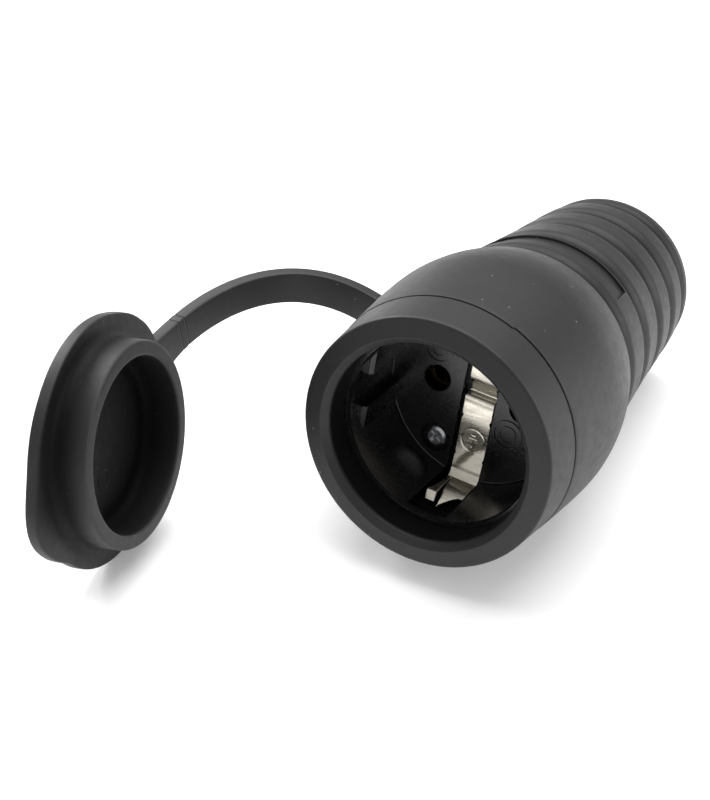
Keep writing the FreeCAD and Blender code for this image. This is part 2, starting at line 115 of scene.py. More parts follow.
def coords(nt, scale=(1, 1, 1), rotation=(0, 0, 0)):
    tc = add(nt, "ShaderNodeTexCoord")
    mp = add(nt, "ShaderNodeMapping")
    mp.inputs["Scale"].default_value = scale
    mp.inputs["Rotation"].default_value = rotation
    nt.links.new(tc.outputs["Object"], mp.inputs["Vector"])
    return mp.outputs["Vector"]


def noise(nt, vec, scale, detail=4.0, rough=0.55, dist=0.0):
    n = add(nt, "ShaderNodeTexNoise")
    n.inputs["Scale"].default_value = scale
    n.inputs["Detail"].default_value = detail
    n.inputs["Roughness"].default_value = rough
    n.inputs["Distortion"].default_value = dist
    nt.links.new(vec, n.inputs["Vector"])
    return n.outputs["Fac"]


def ramp(nt, fac, stops):
    r = add(nt, "ShaderNodeValToRGB")
    cr = r.color_ramp
    while len(cr.elements) < len(stops):
        cr.elements.new(0.5)
    for e, (pos, col) in zip(cr.elements, stops):
        e.position = pos
        e.color = (*col, 1.0) if len(col) == 3 else col
    nt.links.new(fac, r.inputs["Fac"])
    return r.outputs["Color"]


def span(nt, fac, a, b, lo, hi):
    r = add(nt, "ShaderNodeMapRange")
    r.clamp = True
    r.inputs["From Min"].default_value = a
    r.inputs["From Max"].default_value = b
    r.inputs["To Min"].default_value = lo
    r.inputs["To Max"].default_value = hi
    nt.links.new(fac, r.inputs["Value"])
    return r.outputs["Result"]


def mixc(nt, fac, a, b, mode="MIX"):
    m = add(nt, "ShaderNodeMix", data_type="RGBA", blend_type=mode)
    if isinstance(fac, float):
        m.inputs[0].default_value = fac
    else:
        nt.links.new(fac, m.inputs[0])
    for sock, v in ((m.inputs[6], a), (m.inputs[7], b)):
        if isinstance(v, tuple):
            sock.default_value = (*v, 1.0)
        else:
            nt.links.new(v, sock)
    return m.outputs[2]


def math_n(nt, op, a, b=None):
    m = add(nt, "ShaderNodeMath", operation=op)
    for i, v in enumerate((a, b)):
        if v is None:
            continue
        if isinstance(v, (int, float)):
            m.inputs[i].default_value = v
        else:
            nt.links.new(v, m.inputs[i])
    return m.outputs[0]


def bump(nt, bs, layers):
    """layers: (height socket, strength, distance in m)."""
    last = None
    for h, s, d in layers:
        b = add(nt, "ShaderNodeBump")
        b.inputs["Strength"].default_value = s
        b.inputs["Distance"].default_value = d
        nt.links.new(h, b.inputs["Height"])
        if last is not None:
            nt.links.new(last, b.inputs["Normal"])
        last = b.outputs["Normal"]
    nt.links.new(last, bs.inputs["Normal"])


def rubber(name, base=(0.030, 0.030, 0.032), rough=0.56, dust=1.0, spec=0.42):
    """Moulded black rubber: fine grain, faint cloudy bloom, sparse dust specks, worn edges, and painted shade from a
    vertex attribute.
    """
    m, nt, bs = nodes_of(name)
    v = coords(nt)
    cloud = noise(nt, v, 42.0, 3.0, 0.5, 0.4)
    fine = noise(nt, v, 2600.0, 2.0, 0.6)
    mid = noise(nt, v, 520.0, 4.0, 0.6)
    col = ramp(nt, cloud, [(0.30, tuple(c * 0.84 for c in base)), (0.55, base),
                           (0.78, (base[0] * 1.16, base[1] * 1.14, base[2] * 1.26))])
    col = mixc(nt, span(nt, mid, 0.35, 0.7, 0.0, 0.35), col, tuple(c * 1.35 for c in base))
    col = mixc(nt, span(nt, fine, 0.40, 0.62, 0.0, 0.30), col, tuple(c * 0.62 for c in base))
    # dust: small pale specks, few and uneven
    vo = add(nt, "ShaderNodeTexVoronoi", feature="F1")
    vo.inputs["Scale"].default_value = 420.0
    vo.inputs["Randomness"].default_value = 1.0
    nt.links.new(v, vo.inputs["Vector"])
    speck = span(nt, vo.outputs["Distance"], 0.045, 0.085, 1.0, 0.0)
    sep = add(nt, "ShaderNodeSeparateColor")
    nt.links.new(vo.outputs["Color"], sep.inputs[0])
    few = math_n(nt, "GREATER_THAN", sep.outputs[0], 0.80)
    speck = math_n(nt, "MULTIPLY", speck, few)
    speck = math_n(nt, "MULTIPLY", speck, 0.55 * dust)
    col = mixc(nt, speck, col, (0.30, 0.30, 0.29))
    # edges polished a little paler
    geo = add(nt, "ShaderNodeNewGeometry")
    edge = span(nt, geo.outputs["Pointiness"], 0.52, 0.60, 0.0, 0.45)
    col = mixc(nt, edge, col, tuple(c * 1.8 for c in base))
    # painted shade: base colour and specular tint darker where the vertex attribute is high
    at = add(nt, "ShaderNodeAttribute", attribute_name="shade")
    col = mixc(nt, at.outputs["Fac"], col, tuple(c * 0.35 for c in base))
    nt.links.new(mixc(nt, at.outputs["Fac"], (1.0, 1.0, 1.0), (0.12, 0.12, 0.12)), bs.inputs["Specular Tint"])
    nt.links.new(col, bs.inputs["Base Color"])
    r = span(nt, mid, 0.25, 0.75, rough - 0.05, rough + 0.07)
    r = math_n(nt, "ADD", r, span(nt, cloud, 0.3, 0.7, -0.03, 0.03))
    nt.links.new(r, bs.inputs["Roughness"])
    bs.inputs["Specular IOR Level"].default_value = spec
    bs.inputs["IOR"].default_value = 1.5
    bump(nt, bs, [(fine, 0.36, 0.00005), (mid, 0.24, 0.00010)])
    return m


def plastic(name, base, rough, swirl=None):
    """Moulded thermoplastic with flow clouding, fine tool marks and light scuffs."""
    m, nt, bs = nodes_of(name)
    v = coords(nt)
    cloud = noise(nt, v, 90.0, 3.0, 0.5, 0.6)
    fine = noise(nt, v, 1800.0, 3.0, 0.6)
    scr = noise(nt, coords(nt, (1.0, 0.12, 1.0), (0.2, 0.1, 0.5)), 900.0, 2.0, 0.5, 1.0)
    col = ramp(nt, cloud, [(0.3, tuple(c * 0.8 for c in base)), (0.7, tuple(c * 1.2 for c in base))])
    col = mixc(nt, span(nt, scr, 0.62, 0.72, 0.0, 0.25), col, tuple(min(1.0, c * 2.2) for c in base))
    nt.links.new(col, bs.inputs["Base Color"])
    nt.links.new(span(nt, fine, 0.3, 0.7, rough - 0.05, rough + 0.08), bs.inputs["Roughness"])
    bs.inputs["Specular IOR Level"].default_value = 0.6
    layers = [(fine, 0.04, 0.00003), (scr, 0.04, 0.00003)]
    if swirl:
        wv = add(nt, "ShaderNodeTexWave", wave_type="RINGS", rings_direction="Y")
        wv.inputs["Scale"].default_value = swirl
        wv.inputs["Distortion"].default_value = 0.6
        wv.inputs["Detail"].default_value = 1.0
        tc = add(nt, "ShaderNodeTexCoord")
        mp = add(nt, "ShaderNodeMapping", vector_type="TEXTURE")
        o = to_row([0, 0, 0])
        mp.inputs["Location"].default_value = tuple(o)
        e = Matrix(REST.tolist()).to_euler()
        mp.inputs["Rotation"].default_value = tuple(e)
        nt.links.new(tc.outputs["Object"], mp.inputs["Vector"])
        nt.links.new(mp.outputs["Vector"], wv.inputs["Vector"])
        layers.append((wv.outputs["Fac"], 0.10, 0.00003))
    bump(nt, bs, layers)
    return m


def metal(name, base, rough, brushed=0.5, along=(1, 1, 1), spots=(0.35, 0.28, 0.18)):
    """Plated or plain metal: drawn lines, tarnish clouding and small pits."""
    m, nt, bs = nodes_of(name)
    bs.inputs["Metallic"].default_value = 1.0
    v = coords(nt)
    cloud = noise(nt, v, 160.0, 4.0, 0.6, 0.8)
    line = noise(nt, coords(nt, along), 1500.0, 3.0, 0.6)
    pits = noise(nt, v, 3200.0, 2.0, 0.5)
    dark = tuple(b * 0.72 + s * 0.12 for b, s in zip(base, spots))
    col = ramp(nt, cloud, [(0.28, dark), (0.5, base), (0.75, tuple(min(1.0, c * 1.06) for c in base))])
    col = mixc(nt, span(nt, line, 0.5, 0.8, 0.0, 0.3), col, tuple(c * 0.7 for c in base))
    nt.links.new(col, bs.inputs["Base Color"])
    r = span(nt, line, 0.3, 0.7, rough * 0.8, rough * 1.35)
    r = math_n(nt, "ADD", r, span(nt, cloud, 0.3, 0.7, 0.05, -0.03))
    nt.links.new(r, bs.inputs["Roughness"])
    bump(nt, bs, [(line, 0.10 * brushed * 2, 0.00003), (pits, 0.08, 0.00003)])
    return m


RUBBER = rubber("rubber_body", base=(0.0092, 0.0091, 0.0101), rough=0.50)
# The cap's and the strap's rubber are paler copies of the body's rubber: painted light that stands in for the light
# they catch.
RUBBER_CAP = rubber("rubber_cap", base=(0.0116, 0.0115, 0.0123), rough=0.52)
RUBBER_STRAP = rubber("rubber_strap", base=(0.0155, 0.0154, 0.0160), rough=0.52, spec=0.50)
# Darker, less glossy copies of the rubber with fewer dust specks: painted shade for the inside of the socket's mouth
# and of the cap's cup.
RUBBER_IN = rubber("rubber_inside_painted_shade", base=(0.0036, 0.0036, 0.0038), rough=0.60, dust=0.35, spec=0.13)
RUBBER_CUP = rubber("rubber_cup_painted_shade", base=(0.0066, 0.0066, 0.0070), rough=0.60, dust=0.5, spec=0.24)
BLACK = plastic("insert_plastic", (0.0055, 0.0055, 0.0057), 0.21, swirl=900.0)
GREY = plastic("carrier_plastic", (0.22, 0.22, 0.23), 0.42)
NICKEL = metal("nickel_strip", (0.80, 0.755, 0.655), 0.27, 0.35, (0.15, 1, 1))
STEEL = metal("zinc_steel", (0.55, 0.56, 0.58), 0.28, 0.4)
SPRING = metal("spring_steel", (0.42, 0.42, 0.43), 0.30, 0.5)
BRASS = metal("brass", (0.72, 0.52, 0.24), 0.26, 0.5)
# Near-black brass for the contact sleeves: painted shade for the dark inside of the contact holes.
BRASS_DARK = metal("brass_painted_shade", (0.060, 0.042, 0.024), 0.50, 0.5, spots=(0.02, 0.015, 0.01))


# ------------------------------------------------------------------- meshes
def mesh_obj(name, verts_row, faces, mat, body, smooth=35.0):
    me = bpy.data.meshes.new(name)
    me.from_pydata([tuple(v) for v in verts_row], [], faces)
    me.validate()
    bm = bmesh.new()
    bm.from_mesh(me)
    if bm.calc_volume(signed=True) < 0:      # faces always look outward
        bmesh.ops.reverse_faces(bm, faces=bm.faces)
        bm.to_mesh(me)
    bm.free()
    me.update()
    ob = bpy.data.objects.new(name, me)
    bpy.context.collection.objects.link(ob)
    me.materials.append(mat)
    me.polygons.foreach_set("use_smooth", [True] * len(me.polygons))
    if smooth:
        me.set_sharp_from_angle(angle=math.radians(smooth))
    if body:
        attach(ob, body)
    return ob


def spline_pts(pts, n):
    """Catmull-Rom through (r, y) points."""
    p = np.array(pts, float)
    p = np.vstack([2 * p[0] - p[1], p, 2 * p[-1] - p[-2]])
    out = []
    for i in range(1, len(p) - 2):
        for k in range(n):
            t = k / n
            a, b, c, d = p[i - 1], p[i], p[i + 1], p[i + 2]
            out.append(0.5 * ((2 * b) + (c - a) * t + (2 * a - 5 * b + 4 * c - d) * t * t
                              + (-a + 3 * b - 3 * c + d) * t ** 3))
    out.append(p[-2])
    return [tuple(q) for q in out]


def lathe(name, profile, angles, place, mat, body, shape=None, smooth=35.0, closed=True):
    """Revolves a closed (r, y) profile about Y. Angle 0 is +Z, growing towards +X."""
    prof = np.array(profile, float)
    n, m = len(angles), len(prof)
    ang = np.array(angles, float)
    rr = np.repeat(prof[None, :, 0], n, 0)
    yy = np.repeat(prof[None, :, 1], n, 0)
    aa = np.repeat(ang[:, None], m, 1)
    if shape is not None:
        rr, yy = shape(rr, yy, aa)
    pts = np.stack([rr * np.sin(aa), yy, rr * np.cos(aa)], -1).reshape(-1, 3)
    faces = []
    mm = m if closed else m - 1
    for i in range(n):
        j = (i + 1) % n
        for k in range(mm):
            l = (k + 1) % m
            faces.append((i * m + k, i * m + l, j * m + l, j * m + k))
    return mesh_obj(name, to_row(place(pts)), faces, mat, body, smooth)


def ident(p):
    return p


# --------------------------------------------------------------- the housing
SKIN = [(9.75, 26.80), (13.8, 27.12), (18.0, 27.40), (21.0, 27.62), (24.0, 27.75), (26.6, 27.83),
        (29.0, 27.80), (31.0, 27.65), (33.0, 27.40), (35.0, 27.08), (37.0, 26.70), (38.6, 26.31),
        (40.0, 25.90), (41.6, 25.40), (43.0, 24.95), (45.0, 24.36), (48.0, 23.88), (51.0, 23.60),
        (58.0, 22.82), (65.0, 22.02), (71.0, 21.48), (77.5, 20.96), (82.0, 20.60), (86.5, 20.15),
        (90.0, 19.70), (93.0, 19.20)]
VALLEYS = [(46.4, 2.75, 0.92), (58.7, 2.8, 0.95), (69.8, 2.8, 0.95), (79.8, 2.7, 0.90), (89.3, 2.6, 0.88)]
TAIL = [(94.3, 18.75), (95.3, 18.15), (96.1, 17.35), (96.7, 16.30), (97.0, 15.0)]
SEAM_Y = 9.5
PANEL = (50.6, 56.1, math.radians(42.0), 23.25, 22.47)
SK = np.array(SKIN)


def skin(y):
    """Smooth radius of the housing without its valleys."""
    k = [(y - 0.8), (y - 0.4), y, (y + 0.4), (y + 0.8)]
    return float(np.mean(np.interp(k, SK[:, 0], SK[:, 1])))


def ribbed(y):
    r = skin(y)
    for c, h, d in VALLEYS:
        if abs(y - c) < h:
            r -= 0.5 * d * (1 + math.cos(math.pi * (y - c) / h))
    return r


def housing_profile():
    p = [(22.15, -0.9)]
    p += [(22.15 + (25.45 - 22.15) * t, -0.9 + (0.768) * t) for t in (0.015, 0.04, 0.33, 0.66, 0.93, 0.97)]
    p += [(25.62, -0.07), (25.80, 0.04), (25.93, 0.19), (26.02, 0.38), (26.045, 0.60)]
    p += [(26.045 + (26.66 - 26.045) * t, 0.6 + (SEAM_Y - 0.32 - 0.6) * t) for t in np.linspace(0.12, 0.98, 9)]
    # seam: rounded lips and a narrow dark gap
    p += [(26.665, SEAM_Y - 0.30), (26.655, SEAM_Y - 0.22), (26.60, SEAM_Y - 0.16), (26.45, SEAM_Y - 0.13),
          (26.05, SEAM_Y - 0.10), (26.00, SEAM_Y), (26.05, SEAM_Y + 0.10), (26.50, SEAM_Y + 0.13),
          (26.70, SEAM_Y + 0.16), (26.78, SEAM_Y + 0.22), (26.81, SEAM_Y + 0.32)]
    p += [(ribbed(y), y) for y in np.arange(11.0, 42.5, 1.0)]
    p += [(ribbed(y), y) for y in np.arange(42.6, 92.9, 0.4)]
    p += spline_pts([(ribbed(93.0), 93.0)] + [(r, y) for y, r in TAIL], 5)
    p += [(12.0, 97.0), (8.0, 97.0), (6.2, 97.0), (5.95, 96.92), (5.3, 96.5), (5.05, 96.1), (5.0, 95.6), (5.0, 90.0),
          (5.0, 80.0), (8.0, 77.0), (15.9, 70.0), (17.2, 47.2), (20.4, 44.3), (20.4, 29.0), (22.0, 29.0),
          (22.0, 18.0), (22.0, 6.4), (20.75, 6.4), (20.62, 6.3), (20.6, 6.0), (20.6, 3.0), (20.6, 0.9),
          (20.62, 0.55), (20.70, 0.34), (20.85, 0.16), (20.91, 0.1076), (21.4, -0.32), (21.89, -0.7476), (21.95, -0.80),
          (22.03, -0.86)]
    return p


def fine_angles(base, extra):
    a = set(np.round(np.linspace(0, 2 * math.pi, base, endpoint=False), 6))
    for e in extra:
        a.add(round(e % (2 * math.pi), 6))
    a = sorted(a)
    out = [a[0]]
    for x in a[1:]:
        if x - out[-1] > 1e-4:
            out.append(x)
    return out


PAN_C = INSERT_TURN
JOG = math.radians(32.9)
extra = []
for e in (PAN_C - PANEL[2], PAN_C + PANEL[2]):
    extra += [e - 0.004, e - 0.0012, e + 0.0012, e + 0.004]
for e in (JOG, JOG + math.pi):
    extra += [e - 0.004, e + 0.004]


def housing_shape(r, y, a):
    # right-hand half of the seam sits a little further back
    d = (a - JOG) % (2 * math.pi)
    edge = 0.006
    w = np.clip(d / edge, 0, 1) * np.clip((math.pi - d) / edge, 0, 1)
    outer = r > 25.9
    fade = np.clip(1 - np.abs(y - SEAM_Y) / 3.0, 0, 1)
    y = y + np.where(outer, 0.5 * w * fade, 0)
    # blank panel let into the first rib
    q = np.abs((a - PAN_C + math.pi) % (2 * math.pi) - math.pi)
    inside = np.clip((PANEL[2] - q) / 0.0024, 0, 1)
    on = (r > 19.0) & (y > PANEL[0] - 0.01) & (y < PANEL[1] + 0.01)
    floor = PANEL[3] + (PANEL[4] - PANEL[3]) * (y - PANEL[0]) / (PANEL[1] - PANEL[0])
    w = inside * np.clip((y - PANEL[0]) / 0.10, 0, 1) * np.clip((PANEL[1] - y) / 0.10, 0, 1)
    r = np.where(on, r + (floor - r) * w, r)
    return r, y


prof = housing_profile()
# extra rings at the panel's front and rear edges
ins_at = [i for i, (r, y) in enumerate(prof) if r > 20 and 50.0 < y < 57]
new = []
for i, (r, y) in enumerate(prof):
    new.append((r, y))
    if i in ins_at and i + 1 < len(prof):
        y2 = prof[i + 1][1]
        for v in (50.56, 50.59, 50.61, 50.65, 50.70, 50.74, 55.96, 56.0, 56.04, 56.09, 56.11, 56.16):
            if y + 1e-4 < v < y2 - 1e-4:
                t = (v - y) / (y2 - y)
                new.append((r + (prof[i + 1][0] - r) * t, v))
HOUSE = lathe("housing_rubber", new, fine_angles(256, extra), ident, RUBBER, "housing", housing_shape, 50.0)


def inner_faces(ob, mat, test):
    """Gives the faces whose centre passes the test a second material."""
    me = ob.data
    me.materials.append(mat)
    n = len(me.polygons)
    c = np.zeros(n * 3)
    me.polygons.foreach_get("center", c)
    k = (c.reshape(-1, 3) * 1000.0 - SHIFT) @ REST
    ids = np.where(test(k), 1, 0).astype(np.int32)
    me.polygons.foreach_set("material_index", ids)
    me.update()


def house_inside(k):
    r, y = np.hypot(k[:, 0], k[:, 2]), k[:, 1]
    return ((y > 1.6) & (r < np.interp(y, [1.6, 29.9, 30.0, 47.9, 48.0, 78.0, 78.1], [22.1, 22.1, 20.6, 20.6, 17.6, 17.6, 5.2])))


inner_faces(HOUSE, RUBBER_IN, house_inside)
# Painted shade on the housing: darker along the rib valleys, over the first rib and panel band, and towards the tail.
def house_shade(k):
    r, y = np.hypot(k[:, 0], k[:, 2]), k[:, 1]
    s = np.zeros(len(k))
    for c_, h_, d_ in VALLEYS:
        v = np.clip(1 - np.abs(y - c_) / (0.66 * h_), 0, 1)
        s = np.maximum(s, 0.74 * v * v * (3 - 2 * v))
    s = np.maximum(s, np.interp(y, [46.4, 48.5, 56.0, 58.5, 82.0, 90.0, 94.0, 97.0], [0.2, 0.2, 0.2, 0.05, 0.05, 0.14, 0.14, 0.0]) * (y > 46.4))
    return np.where(r > 18.2, s, 0.0)


def shade_points(ob, of):
    """Stores painted shade, a darkening from 0 to 1, at each vertex for the rubber's material."""
    me = ob.data
    n = len(me.vertices)
    c = np.zeros(n * 3)
    me.vertices.foreach_get("co", c)
    k = (c.reshape(-1, 3) * 1000.0 - SHIFT) @ REST
    me.attributes.new("shade", "FLOAT", "POINT").data.foreach_set("value", of(k).astype(np.float32))


shade_points(HOUSE, house_shade)
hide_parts("rubber_housing")


# ------------------------------------------------------------------- the cap
# outer radius of the flange by direction in degrees (0 is +Z, 90 is +X): tab near 104, swelling to the strap at -75
RIM = [(-180, 25.07), (-125, 25.07), (-118, 25.35), (-110, 25.75), (-102, 26.2), (-95, 26.5), (-55, 26.5), (-50, 26.3),
       (-45, 26.02), (-40, 25.82), (-35, 25.58), (-30, 25.3), (-25, 25.05), (-20, 24.85), (-5, 24.7), (20, 24.75),
       (45, 24.85), (52, 25.02), (60, 25.25), (68, 25.4), (76, 25.6), (80, 25.75), (84, 26.08), (88, 26.55), (92, 27.12),
       (96, 27.74), (100, 28.2), (104, 28.5), (108, 28.47), (112, 28.2), (116, 27.7), (120, 27.15), (124, 26.6),
       (128, 26.0), (132, 25.45), (135, 25.1), (137, 25.02), (145, 25.07), (180, 25.07)]
RIM_A = np.radians(np.linspace(-180, 180, 1441))
RIM_R = np.interp(np.degrees(RIM_A), [k[0] for k in RIM], [k[1] for k in RIM])
RIM_R = np.convolve(np.pad(RIM_R, 6, mode="edge"), np.ones(13) / 13, "valid")


def cap_radius(a):
    """Outer radius of the flange, the pull tab included; angle 0 is +Z towards +X."""
    return np.interp(np.where(a > math.pi, a - 2 * math.pi, a), RIM_A, RIM_R)


def cap_profile():
    f, t = 25.07, 2.58
    p = []
    out = [(0.02, -t), (4.0, -t), (9.0, -t), (14.0, -t), (19.0, -t), (22.5, -t), (f - 0.55, -t), (f - 0.30, -t + 0.05),
           (f - 0.12, -t + 0.18), (f - 0.02, -t + 0.36), (f, -t + 0.6), (f, -1.3), (f, -0.5), (f - 0.03, -0.26),
           (f - 0.13, -0.10), (f - 0.30, -0.01), (f - 0.6, 0.0)]
    p += out
    p += [(23.9, 0.0), (23.2, 0.0), (22.5, 0.0)]
    p += spline_pts([(22.2, 0.02), (21.55, 0.16), (21.05, 0.50), (20.72, 1.0), (20.52, 1.7), (20.45, 2.6)], 3)
    p += [(20.45, 3.4), (20.45, 4.4), (20.45, 5.4), (20.45, 6.35), (20.42, 6.62), (20.33, 6.82), (20.18, 6.95), (19.95, 7.0)]
    p += [(19.4, 7.0), (18.7, 7.0), (18.0, 7.0), (17.85, 6.99), (17.66, 6.93), (17.52, 6.80), (17.45, 6.6),
          (17.38, 5.5), (17.30, 3.5), (17.20, 1.6)]
    p += spline_pts([(17.12, 0.7), (16.85, 0.10), (16.4, -0.32), (15.7, -0.56), (14.8, -0.60)], 3)
    p += [(13.0, -0.6), (11.0, -0.6), (9.0, -0.6), (6.0, -0.6), (3.0, -0.6), (0.02, -0.6)]
    return p


def cap_shape(r, y, a):
    R = cap_radius(a)
    t = np.clip((r - 22.5) / (25.07 - 22.5), 0, 1)
    flange = (y < 0.05) & (r > 22.4)
    r = np.where(flange, r + t * (R - 25.07), r)
    return r, y


cap_extra = list(np.linspace(math.pi / 2 - 0.15, math.pi / 2 + 0.75, 90))
CAP = lathe("cap_rubber", cap_profile(), fine_angles(220, cap_extra), cap, RUBBER_CAP, "cap", cap_shape, 50.0)


def cap_inside(k):
    q = (k - CAP_C) @ CAP_R
    r = np.hypot(q[:, 0], q[:, 2])
    return (r < 17.5) & (q[:, 1] > -0.8)


# Painted shade on the cap: darker on the flange face, round the foot of the cup wall, low on the wall and inside the
# cup, more on some sides than others.
def cap_shade(k):
    q = (k - CAP_C) @ CAP_R
    r, y = np.hypot(q[:, 0], q[:, 2]), q[:, 1]
    a = np.degrees(np.arctan2(q[:, 0], q[:, 2]))
    out = np.interp(a, [-180, -120, -60, -30, 0, 25, 45, 95, 112, 125, 140, 180],
                    [0.1, 0.2, 0.25, 0.3, 0.4, 0.7, 0.92, 0.92, 0.5, 0.25, 0.1, 0.1])
    foot = np.interp(a, [-180, -120, -60, -30, 0, 20, 120, 140, 152, 168, 180],
                     [0.3, 0.3, 0.3, 0.45, 0.8, 1.0, 1.0, 1.0, 0.75, 0.3, 0.3])
    face = np.where((y > -0.25) & (y < 0.6) & (r > 20.4), 1.0, 0.0)
    near = np.interp(r, [20.5, 22.4, 24.2], [1.0, 0.9, 0.15])
    s = face * np.maximum(out * np.interp(r, [24.0, 24.9], [1.0, 0.75]), foot * near)
    wall = np.where((y >= 0.1) & (r > 20.0) & (r < 22.0), 1.0, 0.0)
    s = np.maximum(s, wall * foot * np.interp(y, [0.1, 1.2, 2.6, 4.2, 5.6, 6.6], [1.0, 0.97, 0.78, 0.45, 0.15, 0.0]))
    cup = np.where((r < 17.6) & (y > -0.9) & (y < 6.8), 1.0, 0.0)
    deep = np.interp(r, [12.8, 14.6, 16.9, 17.25], [0.5, 0.9, 0.92, 0.66])
    s = np.maximum(s, cup * deep * np.clip((12.0 - q[:, 0]) / 10.0, 0, 1) * np.interp(y, [1.5, 6.6], [1.0, 0.2]))
    return s


inner_faces(CAP, RUBBER_CUP, cap_inside)
shade_points(CAP, cap_shade)
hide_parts("sealing_cap")


def ring_mark(name, centre, r0, r1, y0, h, place, mat, body, n=72):
    """A faint raised moulded ring with rounded shoulders."""
    rm = 0.5 * (r0 + r1)
    pr = [(r0, 0), (r0 + 0.04, h * 0.7), (r0 + 0.09, h), (r1 - 0.09, h), (r1 - 0.04, h * 0.7), (r1, 0), (rm, -0.05)]
    pts, faces = [], []
    for i in range(n):
        a = 2 * math.pi * i / n
        for r, k in pr:
            pts.append((centre[0] + r * math.sin(a), y0 + k, centre[1] + r * math.cos(a)))
    m = len(pr)
    for i in range(n):
        j = (i + 1) % n
        for k in range(m):
            l = (k + 1) % m
            faces.append((i * m + k, i * m + l, j * m + l, j * m + k))
    return mesh_obj(name, to_row(place(np.array(pts))), faces, mat, body, 40.0)


MARK = ring_mark("cap_mould_mark", (1.6, -7.6), 1.75, 2.08, -0.62, 0.20, cap, RUBBER_CUP, "cap")


# ----------------------------------------------------------------- the strap
def strap_curve():
    ps, p2, et = math.radians(16.8), math.radians(15.4), math.radians(20.8)
    nn = np.array([math.cos(CAP_TURN), math.sin(CAP_TURN), 0])
    al = np.array([-math.sin(CAP_TURN), math.cos(CAP_TURN), 0])
    zz, yv = np.array([0, 0, 1.0]), np.array([0, 1.0, 0])
    rad = np.array([-math.cos(ps), 0, math.sin(ps)])
    q0 = rad * 27.3 + yv * 34.9
    t0 = rad * math.cos(et) + yv * math.sin(et)
    rs = al * math.cos(p2) + zz * math.sin(p2)
    q3 = CAP_C + rs * (25.07 - 0.5)
    q1, q2 = q0 + t0 * 31.2, q3 + rs * 17.9
    w0 = np.array([math.sin(ps), 0, math.cos(ps)])
    w1 = np.cross(nn, rs)
    if w1[2] < 0:
        w1 = -w1

    def at(s):
        k = min(1.0, max(0.0, s))
        if s < 0:
            p, d = q0 + t0 * (s * 61.0), t0.copy()
        elif s > 1:
            p, d = q3 - rs * ((s - 1) * 61.0), -rs
        else:
            m = 1 - k
            p = q0 * m ** 3 + q1 * 3 * m * m * k + q2 * 3 * m * k * k + q3 * k ** 3
            d = (q1 - q0) * 3 * m * m + (q2 - q1) * 6 * m * k + (q3 - q2) * 3 * k * k
        d = d / np.linalg.norm(d)
        w = w0 * (1 - k) + w1 * k
        w = w - d * (w @ d)
        w /= np.linalg.norm(w)
        lean = math.radians(1.7) * 4 * k * (1 - k)
        w = w * math.cos(lean) + np.cross(d, w) * math.sin(lean)
        return p, d, w, np.cross(d, w)
    sign = 1.0 if at(0.0)[3][1] > 0 else -1.0

    def frame_at(s):
        p, d, w, n = at(s)
        return p, d, w, n * sign
    return frame_at


STRAP = strap_curve()


def strap_piece(name, s_list, half_of, mat, caps=(True, True)):
    t = 2.80
    r = 0.42
    pts, faces = [], []
    ring = 0
    for s in s_list:
        p, d, w, n = STRAP(s)
        h, th, off = half_of(s)
        sec = []
        for cx, cy, a0 in ((h - r, th - r, 0), (-h + r, th - r, 90), (-h + r, r, 180), (h - r, r, 270)):
            for k in range(5):
                a = math.radians(a0 + 22.5 * k)
                sec.append((cx + r * math.cos(a), cy + r * math.sin(a) + off))
        ring = len(sec)
        for a, b in sec:
            pts.append(p + w * a + n * b)
    m = len(s_list)
    for i in range(m - 1):
        for k in range(ring):
            l = (k + 1) % ring
            faces.append((i * ring + k, i * ring + l, (i + 1) * ring + l, (i + 1) * ring + k))
    if caps[0]:
        faces.append(tuple(range(ring))[::-1])
    if caps[1]:
        faces.append(tuple((m - 1) * ring + k for k in range(ring)))
    return mesh_obj(name, to_row(np.array(pts)), faces, mat, None, 50.0)


SPLIT = 0.60


def strap_size(s):
    """(half width, thickness, offset) along the strap."""
    h, t, off = 7.11 / 2, 2.80, 0.0
    # flare into the housing
    f = max(0.0, 1 - max(0.0, s) / 0.045)
    h += 1.1 * f * f
    t += 1.0 * f * f
    off -= 0.5 * f * f
    # slightly wider tongue next to the cap, stepped at a fine line
    g = min(1.0, max(0.0, (s - 0.806) / 0.004))
    h += 0.10 * g
    g2 = min(1.0, max(0.0, (s - 0.82) / 0.16))
    h += 0.85 * g2 * g2
    # the fine lines themselves
    for at in (0.803, 0.835):
        q = abs(s - at)
        if q < 0.0035:
            h -= 0.14 * (1 - q / 0.0035)
            t -= 0.16 * (1 - q / 0.0035)
            off += 0.08 * (1 - q / 0.0035)
    return h, t, off


sa = sorted(set(list(np.linspace(-0.045, SPLIT, 110)) + list(np.linspace(-0.01, 0.05, 16))))
sb = sorted(set(list(np.linspace(SPLIT, 1.012, 70)) + list(np.linspace(0.797, 0.812, 16)) + list(np.linspace(0.830, 0.840, 11))))
STRAP_A = strap_piece("strap_root_half", sa, strap_size, RUBBER_STRAP)
STRAP_B = strap_piece("strap_cap_half", sb, strap_size, RUBBER_STRAP)
ROOT_P = STRAP(0.0)[0]
# Painted shade on the strap, darkest at its root by the housing and fading out over 30 mm.
for half_ob in (STRAP_A, STRAP_B):
    shade_points(half_ob, lambda k: np.interp(np.linalg.norm(k - ROOT_P, axis=1), [0.0, 12.0, 30.0], [0.45, 0.32, 0.0]))
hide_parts("cap_strap")
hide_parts("cap_strap")
tuple(to_row(STRAP(0.0)[0]))
tuple(to_row(STRAP(0.57)[0]))
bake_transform(STRAP_A)
tuple(to_row(STRAP(0.63)[0]))
tuple(to_row(STRAP(0.96)[0]))
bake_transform(STRAP_B)


# ------------------------------------------------------------ the earth strip
ARM_IN, BEND_R, ROOT_Y, SHEET = 20.7, 1.3, 24.8, 0.5


def arc_zy(c, r, a0, a1, n=14):
    return [(c[0] + r * math.cos(math.radians(a0 + (a1 - a0) * k / (n - 1))),
             c[1] + r * math.sin(math.radians(a0 + (a1 - a0) * k / (n - 1)))) for k in range(n)]


